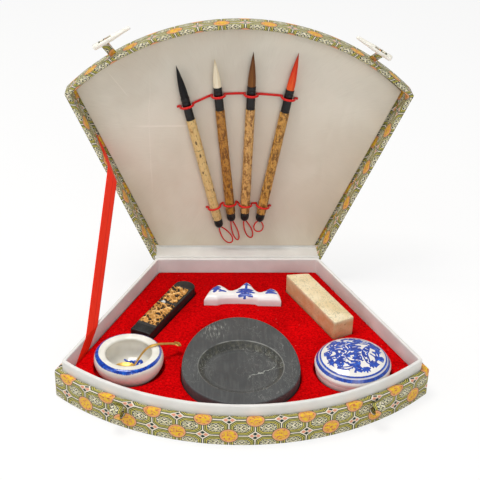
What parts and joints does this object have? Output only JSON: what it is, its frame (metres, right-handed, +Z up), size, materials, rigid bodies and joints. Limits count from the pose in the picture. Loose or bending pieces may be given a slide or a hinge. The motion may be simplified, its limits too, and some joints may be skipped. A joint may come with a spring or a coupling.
{
  "type": "calligraphy set box",
  "caption": "Fan-shaped calligraphy set box: hinged lid with brushes tied into satin, and a velvet bed that holds the ink stone, ink stick, seal, brush rest and porcelain.",
  "frame": {"origin": "centre of the footprint of the case on its underside", "axes": "+X to the right along the hinge, +Y to the hinge at the back, +Z up"},
  "size_m": [0.3, 0.2587, 0.2478],
  "materials": {
    "brocade": "woven brocade over board",
    "paper": "white paper over board",
    "velvet": "deep red velvet on a foam bed",
    "satin": "creased satin over a pad",
    "red_cord": "red ribbon, elastic and cord",
    "bone": "polished bone-white plastic",
    "bamboo": "varnished bamboo",
    "horn": "black, polished",
    "black_hair": "brush hair",
    "white_hair": "brush hair",
    "brown_hair": "brush hair",
    "red_hair": "brush hair",
    "slate": "rubbed dark slate",
    "ink": "pressed ink",
    "gilt": "gilt relief",
    "porcelain": "glazed porcelain",
    "soapstone": "polished soapstone",
    "brass": "stamped sheet",
    "paste": "oily paste"
  },
  "bodies": {
    "case": {"floor_board": "brocade", "case_back": "brocade", "case_left": "brocade", "case_right": "brocade", "case_front": "brocade", "collar_back": "paper", "collar_left": "paper", "collar_right": "paper", "collar_front": "paper", "velvet_bed": "velvet", "hinge_cloth": "brocade", "hinge_paper": "paper", "left_case_loop": "brocade", "right_case_loop": "brocade", "stay_ribbon": "red_cord"},
    "lid": {"lid_board": "brocade", "lid_back": "brocade", "lid_left": "brocade", "lid_right": "brocade", "lid_front": "brocade", "satin_panel": "satin", "upper_elastic": "red_cord", "lower_elastic": "red_cord"},
    "left_strap": {"left_strap": "brocade"},
    "right_strap": {"right_strap": "brocade"},
    "left_peg": {"left_peg": "bone"},
    "right_peg": {"right_peg": "bone"},
    "black_brush": {"black_brush_handle": "bamboo", "black_brush_ferrule": "horn", "black_brush_hair": "black_hair", "black_brush_cap": "horn", "black_brush_loop": "red_cord"},
    "white_brush": {"white_brush_handle": "bamboo", "white_brush_ferrule": "horn", "white_brush_hair": "white_hair", "white_brush_cap": "horn", "white_brush_loop": "red_cord"},
    "brown_brush": {"brown_brush_handle": "bamboo", "brown_brush_ferrule": "horn", "brown_brush_hair": "brown_hair", "brown_brush_cap": "horn", "brown_brush_loop": "red_cord"},
    "red_brush": {"red_brush_handle": "bamboo", "red_brush_ferrule": "horn", "red_brush_hair": "red_hair", "red_brush_cap": "horn", "red_brush_loop": "red_cord"},
    "ink_stone": {"ink_stone": "slate"},
    "ink_stick": {"ink_stick": "ink", "ink_stick_relief": "gilt"},
    "brush_rest": {"brush_rest": "porcelain"},
    "seal_stone": {"seal_stone": "soapstone"},
    "water_dish": {"water_dish": "porcelain"},
    "spoon": {"spoon": "brass"},
    "paste_box": {"paste_box": "porcelain", "seal_paste": "paste"},
    "paste_lid": {"paste_box_lid": "porcelain"}
  },
  "joints": [
    {"name": "lid_hinge", "type": "hinge", "parent": "case", "child": "lid", "pos_m": [0, 0.11335, 0.0237], "axis": [-1, 0, 0], "range_deg": [-93.5, 0], "deforming": ["stay_ribbon", "hinge_cloth", "hinge_paper"]},
    {"name": "left_strap_fold", "type": "hinge", "parent": "lid", "child": "left_strap", "pos_m": [-0.10796, 0.13476, 0.21892], "axis": [-0.8625, -0.0309, -0.5051], "range_deg": [-54.6, 75]},
    {"name": "left_peg_slide", "type": "slide", "parent": "left_strap", "child": "left_peg", "axis": [-0.8625, -0.0309, -0.5051], "range_m": [0, 0.005]},
    {"name": "right_strap_fold", "type": "hinge", "parent": "lid", "child": "right_strap", "pos_m": [0.11306, 0.13457, 0.21584], "axis": [-0.848, 0.0324, 0.5289], "range_deg": [-34.6, 95]},
    {"name": "right_peg_slide", "type": "slide", "parent": "right_strap", "child": "right_peg", "axis": [0.848, -0.0324, -0.5289], "range_m": [0, 0.005]},
    {"name": "black_brush_draw", "type": "slide", "parent": "lid", "child": "black_brush", "axis": [-0.2436, 0.0592, 0.9681], "range_m": [0, 0.015]},
    {"name": "white_brush_draw", "type": "slide", "parent": "lid", "child": "white_brush", "axis": [-0.108, 0.0607, 0.9923], "range_m": [0, 0.015]},
    {"name": "brown_brush_draw", "type": "slide", "parent": "lid", "child": "brown_brush", "axis": [0.0297, 0.061, 0.9977], "range_m": [0, 0.015]},
    {"name": "red_brush_draw", "type": "slide", "parent": "lid", "child": "red_brush", "axis": [0.184, 0.06, 0.9811], "range_m": [0, 0.015]},
    {"name": "ink_stone_lift", "type": "slide", "parent": "case", "child": "ink_stone", "axis": [0, 0, 1], "range_m": [0, 0.06]},
    {"name": "ink_stick_lift", "type": "slide", "parent": "case", "child": "ink_stick", "axis": [0, 0, 1], "range_m": [0, 0.06]},
    {"name": "brush_rest_lift", "type": "slide", "parent": "case", "child": "brush_rest", "axis": [0, 0, 1], "range_m": [0, 0.06]},
    {"name": "seal_stone_lift", "type": "slide", "parent": "case", "child": "seal_stone", "axis": [0, 0, 1], "range_m": [0, 0.06]},
    {"name": "water_dish_lift", "type": "slide", "parent": "case", "child": "water_dish", "axis": [0, 0, 1], "range_m": [0, 0.06]},
    {"name": "spoon_lift", "type": "slide", "parent": "water_dish", "child": "spoon", "axis": [0, 0, 1], "range_m": [0, 0.05]},
    {"name": "paste_box_lift", "type": "slide", "parent": "case", "child": "paste_box", "axis": [0, 0, 1], "range_m": [0, 0.06]},
    {"name": "paste_lid_lift", "type": "slide", "parent": "paste_box", "child": "paste_lid", "axis": [0, 0, 1], "range_m": [0, 0.04]}
  ]
}
